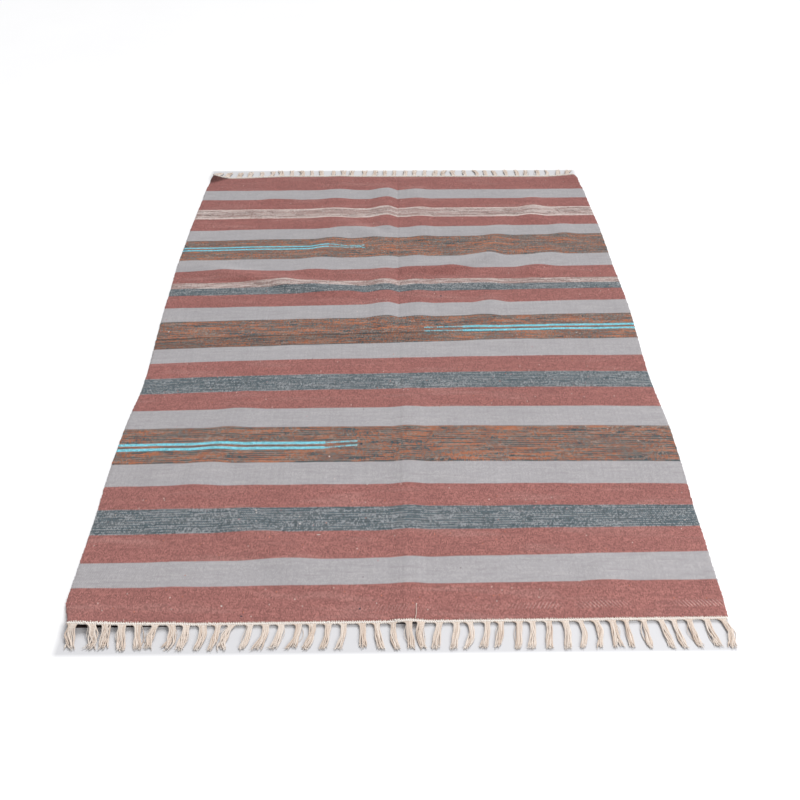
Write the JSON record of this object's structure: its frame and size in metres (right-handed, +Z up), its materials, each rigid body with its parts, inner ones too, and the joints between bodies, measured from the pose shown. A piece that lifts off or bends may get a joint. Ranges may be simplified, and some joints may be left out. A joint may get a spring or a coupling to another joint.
{
  "type": "kilim rug",
  "caption": "Flat-woven striped kilim rug with corded ends and bunched cotton fringes, lying on the floor with soft ripples and a lifted corner.",
  "frame": {"origin": "middle of the rug on the floor, under the centre of its outline", "axes": "+X across the rug to the right, +Y along its length to the far end, +Z up from the floor"},
  "size_m": [1.238, 1.9258, 0.0186],
  "materials": {
    "striped_weave": "weft-faced flat weave in dusty red, grey, brown, blue-grey and cream, matt",
    "cotton_fringe": "undyed twisted cotton warp yarn, matt"
  },
  "bodies": {
    "root": {"woven_panel": "striped_weave", "fringe_near": "cotton_fringe", "fringe_far": "cotton_fringe"}
  },
  "joints": []
}
